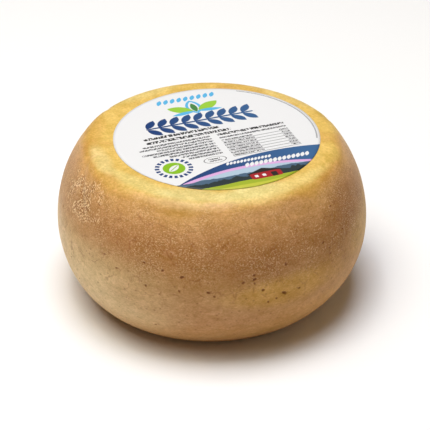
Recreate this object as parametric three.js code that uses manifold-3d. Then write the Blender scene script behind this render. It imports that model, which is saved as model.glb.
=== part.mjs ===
// A caciotta: a small whole cheese of cow's milk, ripened on its flat faces, with a round
// paper label on top. Its sides bulge between a soft upper corner and a soft lower one, the
// rind is a little out of round, and small pits are left in it where curd grains met badly.
//
// Millimetres, +Z up. The origin is the middle of the foot that the cheese stands on, and
// the label reads along +X with its head towards +Y.

import * as THREE from "three";
import { mergeVertices } from "three/addons/utils/BufferGeometryUtils.js";
import Module from "manifold-3d";

// Driving dimensions of the cheese.
const WIDEST_RADIUS = 85;
const HEIGHT = 89.5;
const WIDEST_HEIGHT = 42;
const TOP_RIM_RADIUS = 67.2; // where the bulging side would meet the top, before its corner is rounded
const FOOT_RIM_RADIUS = 62; // the same at the foot
const TOP_CORNER_RADIUS = 10.6;
const FOOT_CORNER_RADIUS = 10.2;

// The paper label.
const LABEL_RADIUS = 55.4;
const LABEL_THICKNESS = 0.3;
const LABEL_GAP = 0.1; // paste between the paper and the rind
const LABEL_OFF_CENTRE = 3;

// The pits, which lie in groups of one to three everywhere but in front. Places up the side
// are shares of the outline's length, from the middle of the foot to the middle of the top.
const PIT_GROUPS = 46;
const MOST_PITS_IN_GROUP = 3;
const PIT_WIDTH = { least: 1.1, most: 2.4 };
const PIT_DEPTH_SHARE = 0.3; // of a pit's width
const PIT_SPREAD = { least: 2.5, most: 6.7 }; // between the pits of one group
const PIT_BAND = { low: 0.29, high: 0.7 };
const PIT_CROWDING = 1.4; // above 1 crowds the pits towards the foot
const PIT_RARITY = 2; // above 1 makes wide pits and full groups rare

// The plainest pits of the front, between these bearings in degrees, each in its own place to
// the nearest degree.
const FRONT = { from: -165, to: -40 };
const FRONT_PITS = [
  { bearing: -152, share: 0.55, width: 1.2 },
  { bearing: -146, share: 0.53, width: 1.3 },
  { bearing: -135, share: 0.565, width: 1.6 },
  { bearing: -134, share: 0.51, width: 1.5 },
  { bearing: -132, share: 0.39, width: 1.5 },
  { bearing: -128, share: 0.555, width: 1.6 },
  { bearing: -122, share: 0.51, width: 1.6 },
  { bearing: -121, share: 0.545, width: 2.2 },
  { bearing: -112, share: 0.51, width: 1.8 },
  { bearing: -110, share: 0.5, width: 1.5 },
  { bearing: -100, share: 0.53, width: 1.8 },
  { bearing: -96, share: 0.545, width: 1.6 },
  { bearing: -96, share: 0.535, width: 2 },
  { bearing: -96, share: 0.525, width: 1.3 },
  { bearing: -93, share: 0.505, width: 1.9 },
  { bearing: -91, share: 0.47, width: 1.5 },
  { bearing: -88, share: 0.475, width: 1.3 },
  { bearing: -85, share: 0.485, width: 2.6 },
  { bearing: -84, share: 0.555, width: 1.8 },
  { bearing: -79, share: 0.485, width: 1.4 },
  { bearing: -67, share: 0.57, width: 1.4 },
  { bearing: -64, share: 0.55, width: 1.3 },
  { bearing: -64, share: 0.535, width: 1.2 },
  { bearing: -58, share: 0.635, width: 1.6 },
  { bearing: -55, share: 0.57, width: 1.4 },
];

// How finely the curves are cut.
const STEPS_AROUND = 96;
const STEPS_PER_SIDE_ARC = 9;
const STEPS_PER_CORNER = 5;
const STEPS_AROUND_LABEL = 96;

const FULL_TURN = 2 * Math.PI;
const QUARTER_TURN = Math.PI / 2;
const GOLDEN_ANGLE = Math.PI * (3 - Math.sqrt(5));
const MERGE_DISTANCE = 0.001;

// What scatters the repeatable draws: two uneven steps and a large gain.
const ITEM_STEP = 12.9898;
const PROPERTY_STEP = 78.233;
const DRAW_GAIN = 43758.5453;

// The wheel was pressed by hand, so it is out of round by shallow lobes. A lobe's climb
// turns it as it goes up the side.
const LOBES = [
  { count: 1, size: 0.28, phase: 4.1, climb: -0.22 },
  { count: 2, size: 0.33, phase: 2.1, climb: 3.27 },
  { count: 3, size: 0.41, phase: 2.53, climb: -0.86 },
  { count: 5, size: 0.27, phase: 2.36, climb: -1.04 },
];

const wasm = await Module();
wasm.setup();

// ---- outline ----

// The arc of a bulging side: upright where the cheese is widest, and through the rim that
// lies `rise` above or below that.
function sideArc(rimRadius, rise) {
  const setBack = WIDEST_RADIUS - rimRadius;
  const radius = (rise * rise + setBack * setBack) / (2 * setBack);
  return { radius, centre: WIDEST_RADIUS - radius };
}

// The arc that rounds a corner, inside the side's arc and touching the flat face.
function cornerArc(side, rise, radius) {
  const up = rise - radius;
  const out = Math.sqrt((side.radius - radius) ** 2 - up ** 2);
  return { radius, centre: side.centre + out, angle: Math.atan2(up, out) };
}

// Half of the upright section, from the middle of the foot round to the middle of the top.
function wheelOutline() {
  const riseTop = HEIGHT - WIDEST_HEIGHT;
  const lowSide = sideArc(FOOT_RIM_RADIUS, WIDEST_HEIGHT);
  const highSide = sideArc(TOP_RIM_RADIUS, riseTop);
  const foot = cornerArc(lowSide, WIDEST_HEIGHT, FOOT_CORNER_RADIUS);
  const top = cornerArc(highSide, riseTop, TOP_CORNER_RADIUS);

  const outline = new THREE.Path();
  outline.moveTo(0, 0);
  outline.lineTo(foot.centre, 0);
  outline.absarc(foot.centre, foot.radius, foot.radius, -QUARTER_TURN, -foot.angle);
  outline.absarc(lowSide.centre, WIDEST_HEIGHT, lowSide.radius, -foot.angle, 0);
  outline.absarc(highSide.centre, WIDEST_HEIGHT, highSide.radius, 0, top.angle);
  outline.absarc(top.centre, HEIGHT - top.radius, top.radius, top.angle, QUARTER_TURN);
  outline.lineTo(0, HEIGHT);
  return outline;
}

// The points of an outline, with corners and sides cut as finely as each needs.
function outlinePoints(outline) {
  const points = [outline.curves[0].getPoint(0)];
  for (const curve of outline.curves) {
    let steps = 1;
    if (curve.isEllipseCurve) {
      const isCorner = curve.xRadius <= Math.max(TOP_CORNER_RADIUS, FOOT_CORNER_RADIUS);
      steps = isCorner ? STEPS_PER_CORNER : STEPS_PER_SIDE_ARC;
    }
    for (let step = 1; step <= steps; step += 1) points.push(curve.getPoint(step / steps));
  }
  return points;
}

// How much wider the wheel is in one direction and at one height, as a factor.
function outOfRound(angle, height) {
  let extra = 0;
  for (const lobe of LOBES) {
    extra += lobe.size * Math.sin(lobe.count * angle + lobe.phase + (lobe.climb * height) / HEIGHT);
  }
  return 1 + extra / WIDEST_RADIUS;
}

// ---- solids ----

// A closed geometry as a solid that can be cut.
function toSolid(geometry) {
  const bare = geometry.clone();
  bare.deleteAttribute("normal");
  bare.deleteAttribute("uv");
  const merged = mergeVertices(bare, MERGE_DISTANCE);
  return new wasm.Manifold(
    new wasm.Mesh({
      numProp: 3,
      vertProperties: merged.attributes.position.array,
      triVerts: new Uint32Array(merged.index.array),
    }),
  );
}

// A solid's surface as a geometry with a normal to each face.
function toGeometry(solid) {
  const mesh = solid.getMesh();
  const geometry = new THREE.BufferGeometry();
  geometry.setAttribute("position", new THREE.BufferAttribute(mesh.vertProperties, 3));
  geometry.setIndex(new THREE.BufferAttribute(mesh.triVerts, 1));
  const faceted = geometry.toNonIndexed();
  faceted.computeVertexNormals();
  return faceted;
}

// The wheel before its pits: the outline turned about the upright axis, then made uneven.
function turnedWheel(outline) {
  const geometry = new THREE.LatheGeometry(outlinePoints(outline), STEPS_AROUND);
  geometry.rotateX(QUARTER_TURN);
  const position = geometry.attributes.position;
  for (let index = 0; index < position.count; index += 1) {
    const x = position.getX(index);
    const y = position.getY(index);
    const factor = outOfRound(Math.atan2(y, x), position.getZ(index));
    position.setXY(index, x * factor, y * factor);
  }
  return geometry;
}

// ---- pits ----

// A repeatable draw from 0 to 1 for one item and one of its properties.
function draw(item, property) {
  const wave = Math.sin(item * ITEM_STEP + property * PROPERTY_STEP) * DRAW_GAIN;
  return wave - Math.floor(wave);
}

// A draw between the least and the most of a range, with high values rare.
function drawRarely(range, item, property) {
  return range.least + (range.most - range.least) * draw(item, property) ** PIT_RARITY;
}

// Whether a direction lies within the front.
function isInFront(angle) {
  const from = THREE.MathUtils.degToRad(FRONT.from);
  const span = THREE.MathUtils.degToRad(FRONT.to - FRONT.from);
  return THREE.MathUtils.euclideanModulo(angle - from, FULL_TURN) < span;
}

// Where the pits are: { angle, share, width }, with the share of the outline's length.
function pitPlaces(outline) {
  const length = outline.getLength();
  const places = FRONT_PITS.map(({ bearing, share, width }) => ({
    angle: THREE.MathUtils.degToRad(bearing),
    share,
    width,
  }));
  for (let group = 0; group < PIT_GROUPS; group += 1) {
    const angle = group * GOLDEN_ANGLE + draw(group, 1);
    if (isInFront(angle)) continue;
    const share = PIT_BAND.low + (PIT_BAND.high - PIT_BAND.low) * draw(group, 2) ** PIT_CROWDING;
    const count = 1 + Math.floor(draw(group, 3) ** PIT_RARITY * MOST_PITS_IN_GROUP);
    for (let member = 0; member < count; member += 1) {
      const item = group + (member + 1) * PIT_GROUPS;
      const spread = PIT_SPREAD.least + (PIT_SPREAD.most - PIT_SPREAD.least) * draw(item, 4);
      const away = member === 0 ? 0 : spread;
      const heading = FULL_TURN * draw(item, 5);
      places.push({
        angle: angle + (away * Math.cos(heading)) / WIDEST_RADIUS,
        share: share + (away * Math.sin(heading)) / length,
        width: drawRarely(PIT_WIDTH, item, 6),
      });
    }
  }
  return places;
}

// A blunt many-sided ball, a little sunk into the rind, that cuts one pit.
function pitCutter(outline, place) {
  const onOutline = outline.getPointAt(place.share);
  const along = outline.getTangentAt(place.share);
  const spread = outOfRound(place.angle, onOutline.y);
  const outward = new THREE.Vector3(along.y, 0, -along.x).normalize();
  const depth = place.width * PIT_DEPTH_SHARE;
  const ball = (place.width ** 2 / 4 + depth ** 2) / (2 * depth);

  const geometry = new THREE.IcosahedronGeometry(ball);
  const centre = new THREE.Vector3(onOutline.x * spread, 0, onOutline.y);
  centre.addScaledVector(outward, ball - depth);
  geometry.translate(centre.x, centre.y, centre.z);
  geometry.rotateZ(place.angle);
  return toSolid(geometry);
}

// ---- pieces ----

function cheeseGeometry() {
  const outline = wheelOutline();
  let solid = toSolid(turnedWheel(outline));
  for (const place of pitPlaces(outline)) {
    solid = solid.subtract(pitCutter(outline, place));
  }
  return toGeometry(solid);
}

function labelGeometry() {
  const geometry = new THREE.CylinderGeometry(
    LABEL_RADIUS,
    LABEL_RADIUS,
    LABEL_THICKNESS,
    STEPS_AROUND_LABEL,
  );
  geometry.rotateX(QUARTER_TURN);
  return geometry;
}

const rind = new THREE.MeshStandardMaterial({ color: 0xc3924f, roughness: 0.55, metalness: 0 });
const paper = new THREE.MeshStandardMaterial({ color: 0xf4f4f2, roughness: 0.35, metalness: 0 });

const cheese = new THREE.Mesh(cheeseGeometry(), rind);
cheese.name = "cheese";

const label = new THREE.Mesh(labelGeometry(), paper);
label.name = "label";
label.position.set(LABEL_OFF_CENTRE, 0, HEIGHT + LABEL_GAP + LABEL_THICKNESS / 2);

const caciotta = new THREE.Group();
caciotta.add(cheese, label);

export default caciotta;
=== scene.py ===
"""Looks of the caciotta: a small whole cheese with a round paper label on its top.

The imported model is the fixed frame. The rind is modelled over the solid cheese from the same
few sizes, with its pits, creases and low lumps, and the label is a thin sheet of coated paper
with a plain printed design. Sizes are in millimetres until a mesh is placed, when they become
metres. +Z is up, the cheese stands on Z = 0 and the label reads along +X.
"""

from __future__ import annotations

import logging
import math
from dataclasses import dataclass, field
from enum import Enum, IntEnum
from functools import cached_property
from typing import ClassVar

import bmesh
import bpy
from mathutils import Matrix, Vector, kdtree, noise

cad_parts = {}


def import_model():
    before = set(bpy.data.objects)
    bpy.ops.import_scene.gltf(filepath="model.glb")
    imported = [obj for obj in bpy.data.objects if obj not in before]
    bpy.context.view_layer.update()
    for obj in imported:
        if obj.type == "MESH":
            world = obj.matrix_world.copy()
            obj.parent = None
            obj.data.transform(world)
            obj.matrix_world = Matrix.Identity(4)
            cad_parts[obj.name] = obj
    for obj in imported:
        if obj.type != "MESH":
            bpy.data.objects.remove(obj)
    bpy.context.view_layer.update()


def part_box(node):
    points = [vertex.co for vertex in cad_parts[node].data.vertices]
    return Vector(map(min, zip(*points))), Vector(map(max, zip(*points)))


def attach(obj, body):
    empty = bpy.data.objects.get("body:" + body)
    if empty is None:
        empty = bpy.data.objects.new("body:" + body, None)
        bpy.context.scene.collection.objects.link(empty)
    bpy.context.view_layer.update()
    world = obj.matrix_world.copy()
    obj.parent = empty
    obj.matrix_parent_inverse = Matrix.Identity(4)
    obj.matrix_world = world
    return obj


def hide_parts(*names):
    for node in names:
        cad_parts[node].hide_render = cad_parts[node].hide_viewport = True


MM = 0.001
FULL_TURN = 2 * math.pi
QUARTER_TURN = math.pi / 2
GOLDEN_ANGLE = math.pi * (3 - math.sqrt(5))
PIT_LAYER = "pit"
MERGE_DISTANCE = 0.002

# Steps along a sine, and how far it is blown up, so that its last digits follow no pattern.
ITEM_STEP = 12.9898
PROPERTY_STEP = 78.233
DRAW_SPREAD = 43758.5453

log = logging.getLogger("caciotta")

Box = tuple[Vector, Vector]
Colour = tuple[float, float, float, float]
Links = dict[int | str, object]
Socket = bpy.types.NodeSocket
Span = tuple[float, float]
Stops = tuple[tuple[float, str], ...]


# ---- helpers ----


def linear(hex_colour: str) -> Colour:
    """Turns an sRGB hex colour into linear light.

    Args:
        hex_colour: The colour as "#RRGGBB".

    Returns:
        Red, green and blue in linear light, and a full alpha.
    """
    shares = [int(hex_colour[at : at + 2], 16) / 255 for at in (1, 3, 5)]
    light = [share / 12.92 if share <= 0.04045 else ((share + 0.055) / 1.055) ** 2.4 for share in shares]
    return (light[0], light[1], light[2], 1.0)


def smooth_step(value: float, low: float, high: float) -> float:
    """Rises smoothly from 0 at low to 1 at high.

    Args:
        value: Where to read the step.
        low: Where it starts to rise.
        high: Where it is full.

    Returns:
        The height of the step there, from 0 to 1.
    """
    share = min(1.0, max(0.0, (value - low) / (high - low)))
    return share * share * (3 - 2 * share)


class Draw(IntEnum):
    """What a repeatable draw sets, which keeps the draws for one pit apart."""

    ANGLE = 1
    SHARE = 2
    COUNT = 3
    AWAY = 4
    HEADING = 5
    WIDTH = 6
    LIE = 7
    STRETCH = 8

    def of(self, item: int) -> float:
        """Draws the number from 0 to 1 that this item always gets."""
        wave = math.sin(item * ITEM_STEP + self * PROPERTY_STEP) * DRAW_SPREAD
        return wave - math.floor(wave)


@dataclass
class Recipe:
    """A material and its nodes, which are added one at a time."""

    name: str

    def __post_init__(self) -> None:
        """Makes the empty material."""
        self.material = bpy.data.materials.new(self.name)
        self.material.use_nodes = True
        self.tree = self.material.node_tree
        self.tree.nodes.clear()

    @cached_property
    def place(self) -> Socket:
        """Each point's place in metres."""
        return self.add("TexCoord", out="Object")

    @cached_property
    def in_mm(self) -> Socket:
        """Each point's place in millimetres."""
        return self.add("VectorMath", {0: self.place, "Scale": 1 / MM}, operation="SCALE")

    def add(
        self, kind: str, links: Links | None = None, out: int | str = 0, stops: Stops = (), **settings: object
    ) -> Socket | None:
        """Adds a node with its settings and links.

        Args:
            kind: Blender's name for the kind of node, without "ShaderNode".
            links: For each input, by its number or name, the socket or the value that it takes.
            out: Which of the node's outputs is wanted.
            stops: The place and the hex colour of each stop of a colour ramp, in order.
            **settings: The node's own settings.

        Returns:
            That output, or None for a node that has no outputs.
        """
        node = self.tree.nodes.new("ShaderNode" + kind)
        for name, value in settings.items():
            setattr(node, name, value)
        for number, (position, colour) in enumerate(stops):
            elements = node.color_ramp.elements
            element = elements[number] if number < len(elements) else elements.new(position)
            element.position = position
            element.color = linear(colour)
        for name, value in (links or {}).items():
            if isinstance(value, Socket):
                self.tree.links.new(value, node.inputs[name])
            else:
                node.inputs[name].default_value = value
        return node.outputs[out] if node.outputs else None

    def finish(self, surface: Socket) -> bpy.types.Material:
        """Links the surface to the material's output and returns the material."""
        self.add("OutputMaterial", {"Surface": surface})
        return self.material


@dataclass(frozen=True)
class Cloud:
    """Soft uneven noise, by its size, its number of finer layers and how rough they make it."""

    size: float
    detail: float = 2.0
    roughness: float = 0.5

    def over(self, place: Socket) -> Links:
        """Gives what a noise texture takes to show it over places in millimetres."""
        return {"Vector": place, "Scale": 1 / self.size, "Detail": self.detail, "Roughness": self.roughness}


@dataclass(frozen=True)
class Fade:
    """A change from a first strength to a last one, between two values of what it reads."""

    start: float
    end: float
    first: float = 0.0
    last: float = 1.0

    def of(self, value: Socket) -> Links:
        """Gives what a range map takes to make the change over a pattern's values."""
        ends = {"From Min": self.start, "From Max": self.end, "To Min": self.first, "To Max": self.last}
        return {"Value": value, **ends}


def draw_line(
    mesh: bmesh.types.BMesh, start: bmesh.types.BMVert, end: Vector, steps: int
) -> bmesh.types.BMVert:
    """Draws a straight line of even steps from a vertex.

    Args:
        mesh: The mesh that holds the vertex.
        start: Where the line starts.
        end: Where it ends.
        steps: How many edges it has.

    Returns:
        The vertex at its end.
    """
    step = (end - start.co) / steps
    last = start
    for _ in range(steps):
        last = bmesh.ops.extrude_vert_indiv(mesh, verts=[last])["verts"][0]
        bmesh.ops.translate(mesh, verts=[last], vec=step)
    return last


def finish_piece(name: str, mesh_in_mm: bmesh.types.BMesh, material: bpy.types.Material) -> bpy.types.Object:
    """Turns a bmesh in millimetres into a smooth shaded object in metres.

    Args:
        name: The piece's name.
        mesh_in_mm: The mesh, in place. It is freed.
        material: The piece's finish.

    Returns:
        The object, which sits at the origin with its place in its mesh.
    """
    bmesh.ops.scale(mesh_in_mm, vec=(MM, MM, MM), verts=mesh_in_mm.verts)
    for face in mesh_in_mm.faces:
        face.smooth = True
    mesh = bpy.data.meshes.new(name)
    mesh_in_mm.to_mesh(mesh)
    mesh_in_mm.free()
    mesh.materials.append(material)
    piece = bpy.data.objects.new(name, mesh)
    bpy.context.scene.collection.objects.link(piece)
    triangles = sum(len(face.vertices) - 2 for face in mesh.polygons)
    log.info("%s: %d triangles", name, triangles)
    return piece


def vertices(pieces: list[object]) -> list[bmesh.types.BMVert]:
    """Picks the vertices from what a bmesh operator gives back."""
    return [piece for piece in pieces if isinstance(piece, bmesh.types.BMVert)]


# ---- rind ----


@dataclass(frozen=True)
class StainAndLightBlotch:
    """A soft oval blotch of tint, a real stain or painted light, by its middle and half sizes along each way.
    """

    edge: ClassVar[Span] = (1.15, 0.45)
    bearing: float
    out: float
    height: float
    depth: float
    width: float
    rise: float
    colour: str
    strength: float

    def cover(self, recipe: Recipe) -> Socket:
        """Finds how strongly the blotch covers each point.

        Args:
            recipe: The material that is being made.

        Returns:
            The cover, from 0 off the blotch to its strength at its middle.
        """
        turn = math.radians(self.bearing)
        middle = (self.out * math.cos(turn), self.out * math.sin(turn), self.height)
        size = (self.depth, self.width, self.rise)
        frame = {"Vector": recipe.in_mm, "Location": middle, "Rotation": (0, 0, turn), "Scale": size}
        local = recipe.add("Mapping", frame, vector_type="TEXTURE")
        away = recipe.add("VectorMath", {0: local}, out="Value", operation="LENGTH")
        fade = Fade(*self.edge, last=self.strength)
        return recipe.add("MapRange", fade.of(away), interpolation_type="SMOOTHSTEP")


@dataclass(frozen=True)
class Rind:
    """Natural rind of a young cow's milk cheese, washed and rubbed with oil as it ripened.

    The eye sees a satin skin, golden where it was turned and handled, tan down the sides, with
    a fine pale bloom of dried grains, soft blotches and small pits. Some blotches are painted light:
    a painted highlight along the near rim of the top, painted light on the lower left side and
    painted warm shade on the right side. The pits and the small dark dots carry painted shade, and
    the gaps between the grains hold darker bare rind with painted shade. Real rind has finer grain
    still, which would not show in the render and is left out.
    """

    height: float = 89.5
    zones: Stops = (
        (0.0, "#AF7744"),
        (0.12, "#B88953"),
        (0.3, "#B88550"),
        (0.49, "#C2945D"),
        (0.56, "#B58449"),
        (0.76, "#AF7942"),
        (0.86, "#BF8A50"),
        (0.94, "#CF9C5A"),
        (0.97, "#D2A352"),
        (0.99, "#D8B359"),
    )
    zone_edges: Cloud = Cloud(30.0, 4.0)
    zone_wander: float = 14.0
    mottles: tuple[tuple[Cloud, float], ...] = (
        (Cloud(9.0, 3.0, 0.6), 0.1),
        (Cloud(3.2, 3.0, 0.6), 0.09),
        (Cloud(1.3, 3.0, 0.6), 0.13),
    )
    mottle_range: Span = (0.3, 0.7)
    mottle_flatness: float = 1.7
    mottle_fading: float = 0.3
    bloom: str = "#F0D0A0"
    # Darker bare rind with painted shade, laid in the gaps beside the raised grains.
    gap_rind_and_shade: str = "#8A5730"
    bloom_share: float = 0.55
    bloom_band: Stops = (
        (0.0, "#505050"),
        (0.5, "#707070"),
        (0.66, "#FFFFFF"),
        (0.92, "#FFFFFF"),
        (0.98, "#505050"),
    )
    bloom_spots: tuple[StainAndLightBlotch, ...] = (
        StainAndLightBlotch(-173, 82, 76, 24, 30, 16, "#EBC592", 1.6),
        StainAndLightBlotch(-145, 82, 74, 24, 34, 14, "#EBC592", 0.4),
        StainAndLightBlotch(-112, 82, 72, 24, 46, 15, "#EBC592", 0.5),
        StainAndLightBlotch(-68, 82, 68, 24, 34, 16, "#EBC592", 0.6),
        StainAndLightBlotch(20, 82, 64, 24, 36, 13, "#EBC592", 0.9),
        StainAndLightBlotch(95, 82, 60, 24, 30, 14, "#EBC592", 0.8),
    )
    bloom_patch: Cloud = Cloud(13.0)
    bloom_clumps: Fade = Fade(0.38, 0.62, 0.25)
    crust_patch: Cloud = Cloud(8.0, 3.0)
    crust_clumps: Fade = Fade(0.4, 0.56, 0.15)
    fine_grain: Cloud = Cloud(0.8, 2.0, 0.6)
    crust_grain: Cloud = Cloud(0.95, 1.0, 0.6)
    grain_flatness: float = 1.5
    grain_specks: Fade = Fade(0.51, 0.63, last=0.9)
    grain_gaps: Fade = Fade(0.49, 0.38, last=0.45)
    grain_depth: float = 0.16
    crack: str = "#8C4C1C"
    crack_spacing: float = 9.0
    crack_bends: Cloud = Cloud(6.0, 3.0)
    crack_bend: float = 5.0
    crack_line: Fade = Fade(0.05, 0.01, last=0.42)
    crack_breaks: Cloud = Cloud(5.0)
    crack_kept: Fade = Fade(0.48, 0.62)
    crack_band: Stops = (
        (0.2, "#000000"),
        (0.4, "#707070"),
        (0.5, "#FFFFFF"),
        (0.9, "#FFFFFF"),
        (0.97, "#606060"),
    )
    # Painted shade of pits too small to model: small dark dots, with their spacing, size and the heights
    # where they show.
    pinhole_shade: str = "#7E4418"
    pinhole_spacing: float = 3.9
    pinhole_dots: Fade = Fade(0.21, 0.08, last=0.42)
    pinhole_band: Stops = (
        (0.0, "#FFFFFF"),
        (0.6, "#FFFFFF"),
        (0.75, "#B0B0B0"),
        (0.93, "#909090"),
        (0.98, "#000000"),
    )
    # Painted shade in the pits, and how strongly it shows.
    pit_shade: str = "#7A3A12"
    pit_shade_strength: float = 0.72
    peel: Cloud = Cloud(3.6)
    peel_depth: float = 0.10
    skin: Cloud = Cloud(0.7)
    skin_depth: float = 0.025
    oil: Cloud = Cloud(30.0, 3.0)
    roughness: Fade = Fade(0.35, 0.65, 0.4, 0.5)
    side_roughness: Fade = Fade(0.95, 0.8, last=0.1)
    shine: Fade = Fade(0.75, 0.96, 0.3, 0.42)
    dust: float = 0.2
    dust_roughness: float = 0.4
    dust_tint: str = "#FFE2B0"
    glow: float = 0.08
    glow_depth: tuple[float, float, float] = (2.0, 1.2, 0.5)
    stains_and_painted_light: tuple[StainAndLightBlotch, ...] = (
        StainAndLightBlotch(-83, 81, 43, 21, 39, 10, "#C99743", 0.89),
        StainAndLightBlotch(-60, 84, 45, 20, 16, 11, "#B3833F", 0.74),
        # Painted light: this large pale blotch lightens the lower left side, in place of a fill light from
        # the left.
        StainAndLightBlotch(-160, 66, 36.5, 29, 56, 30, "#E7CD98", 0.87),
        StainAndLightBlotch(-49, 83.5, 59.5, 24, 37, 16.5, "#895331", 0.58),
        # Painted shade: this large warm blotch darkens and warms the right side, standing in for warmer light
        # there.
        StainAndLightBlotch(-46, 79.5, 42.5, 36, 45, 50, "#B77D19", 0.42),
        StainAndLightBlotch(-35, 83.5, 50.5, 20, 27, 16, "#C59945", 0.6),
        StainAndLightBlotch(40, 84, 34, 20, 28, 12, "#B98A35", 0.6),
        StainAndLightBlotch(110, 84, 52, 20, 30, 16, "#A87242", 0.6),
        StainAndLightBlotch(165, 84, 40, 20, 30, 20, "#DCC09A", 0.6),
        StainAndLightBlotch(-177, 77.5, 68, 13, 37, 15, "#BE8D55", 0.55),
        # Painted highlight: the four pale blotches below lay a bright band along the near rim of the top.
        StainAndLightBlotch(-148, 60, 90.4, 6, 37, 4, "#D7C57B", 0.62),
        StainAndLightBlotch(-120, 59.5, 89.8, 7, 22, 3.5, "#DACB88", 0.65),
        StainAndLightBlotch(-90, 59.5, 90.2, 8, 24, 3.5, "#DCD08A", 0.74),
        StainAndLightBlotch(-69, 62.5, 88.8, 5, 31, 3.5, "#DEC577", 0.55),
        StainAndLightBlotch(-51, 67.5, 85, 11, 34, 3.5, "#C98F3A", 0.46),
        StainAndLightBlotch(-163, 68, 87, 8, 14, 4.5, "#C98F45", 0.5),
        StainAndLightBlotch(-84, 72, 84, 10, 24, 5, "#BF8B5C", 0.4),
        StainAndLightBlotch(30, 64, 88.5, 7, 30, 5, "#DDC37A", 0.6),
        StainAndLightBlotch(104, 64, 88.5, 7, 30, 5, "#DFC880", 0.6),
        StainAndLightBlotch(152, 66, 88.5, 9, 24, 5, "#C88F3E", 0.4),
        StainAndLightBlotch(180, 62, 90, 6, 18, 4, "#E2CF92", 0.45),
        StainAndLightBlotch(-63, 80, 17.5, 30, 52, 16, "#C28D47", 0.5),
        StainAndLightBlotch(-89, 78, 15, 23, 40, 12.5, "#A27132", 0.4),
        StainAndLightBlotch(-42, 81.5, 70, 24, 27, 17, "#90551C", 0.48),
        StainAndLightBlotch(-84, 84, 34.5, 24, 25, 9.5, "#A87519", 0.31),
        StainAndLightBlotch(-93, 83, 59.5, 20, 28, 9, "#94571F", 0.32),
        StainAndLightBlotch(-128, 74.5, 87.5, 12, 26, 4.5, "#BB883C", 0.71),
        StainAndLightBlotch(-130, 83, 38.5, 24, 32, 12.5, "#A86B2D", 0.27),
    )

    def material(self) -> bpy.types.Material:
        """Builds the rind's material from its colours and real sizes.

        Returns:
            The material.
        """
        recipe = Recipe("natural_cheese_rind")
        share = self.share_of_height(recipe)
        crust = self.crust(recipe)
        bloom = self.bloomed(recipe, share, crust)
        speck, gap = self.grains(recipe, crust)
        raised = recipe.add("Math", {0: speck, 1: bloom}, operation="MULTIPLY")
        parted = recipe.add("Math", {0: gap, 1: bloom}, operation="MULTIPLY")
        # Painted shade: the rind darkens inside each pit by how deep in its bowl a point lies.
        pit = recipe.add("Attribute", out="Fac", attribute_name=PIT_LAYER)
        depth = recipe.add("Math", {0: pit, 1: self.pit_shade_strength}, operation="MULTIPLY")
        coats = (
            (parted, self.gap_rind_and_shade),
            (raised, self.bloom),
            (self.cracked(recipe, share), self.crack),
            (self.pinhole_shaded(recipe, share), self.pinhole_shade),
            (depth, self.pit_shade),
        )
        colour = self.mottled(recipe, self.with_stains_and_painted_light(recipe, share))
        for cover, tint in coats:
            colour = recipe.add("Mix", {0: cover, 6: colour, 7: linear(tint)}, out=2, data_type="RGBA")
        surface = recipe.add(
            "BsdfPrincipled",
            {
                "Base Color": colour,
                "Roughness": self.gloss(recipe, share),
                "Specular IOR Level": recipe.add("MapRange", self.shine.of(share)),
                "Normal": self.relief(recipe, raised),
                "Sheen Weight": self.dust,
                "Sheen Roughness": self.dust_roughness,
                "Sheen Tint": linear(self.dust_tint),
                "Subsurface Weight": self.glow,
                "Subsurface Radius": self.glow_depth,
                "Subsurface Scale": MM,
            },
        )
        return recipe.finish(surface)

    def share_of_height(self, recipe: Recipe) -> Socket:
        """Finds how high up the cheese each point is, with a wandering edge for each zone.

        Args:
            recipe: The material that is being made.

        Returns:
            The share of the height, about 0 at the foot and 1 on the top.
        """
        up = recipe.add("SeparateXYZ", {0: recipe.in_mm}, out="Z")
        wander = recipe.add("TexNoise", self.zone_edges.over(recipe.in_mm))
        spread = {0: wander, 1: self.zone_wander, 2: -self.zone_wander / 2}
        shift = recipe.add("Math", spread, operation="MULTIPLY_ADD")
        level = recipe.add("Math", {0: up, 1: shift}, operation="ADD")
        return recipe.add("Math", {0: level, 1: self.height}, operation="DIVIDE")

    def with_stains_and_painted_light(self, recipe: Recipe, share: Socket) -> Socket:
        """Lays the soft blotches, real stains and painted light and shade alike, over the zones' colours.

        Args:
            recipe: The material that is being made.
            share: How high up the cheese each point is.

        Returns:
            The colour.
        """
        colour = recipe.add("ValToRGB", {0: share}, stops=self.zones)
        for tint_patch in self.stains_and_painted_light:
            links = {0: tint_patch.cover(recipe), 6: colour, 7: linear(tint_patch.colour)}
            colour = recipe.add("Mix", links, out=2, data_type="RGBA")
        return colour

    def mottled(self, recipe: Recipe, colour: Socket) -> Socket:
        """Lays soft patches over a colour, of which the light ones are also paler.

        Args:
            recipe: The material that is being made.
            colour: The colour without patches.

        Returns:
            The colour with them.
        """
        flat = recipe.add("Mapping", {"Vector": recipe.in_mm, "Scale": (1, 1, self.mottle_flatness)})
        for cloud, strength in self.mottles:
            patches = recipe.add("TexNoise", cloud.over(flat))
            change = Fade(*self.mottle_range, 1 - strength, 1 + strength)
            value = recipe.add("MapRange", change.of(patches))
            fading = {0: value, 1: -self.mottle_fading, 2: 1 + self.mottle_fading}
            faded = recipe.add("Math", fading, operation="MULTIPLY_ADD")
            colour = recipe.add("HueSaturation", {"Saturation": faded, "Value": value, "Color": colour})
        return colour

    def crust(self, recipe: Recipe) -> Socket:
        """Finds where the bloom dried to a thick crust, in broken spots.

        Args:
            recipe: The material that is being made.

        Returns:
            How thick the crust is, with 0 where there is none.
        """
        thickest: Socket | float = 0.0
        for spot in self.bloom_spots:
            thickest = recipe.add("Math", {0: spot.cover(recipe), 1: thickest}, operation="MAXIMUM")
        patches = recipe.add("TexNoise", self.crust_patch.over(recipe.in_mm))
        kept = recipe.add("MapRange", self.crust_clumps.of(patches))
        return recipe.add("Math", {0: thickest, 1: kept}, operation="MULTIPLY")

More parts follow.
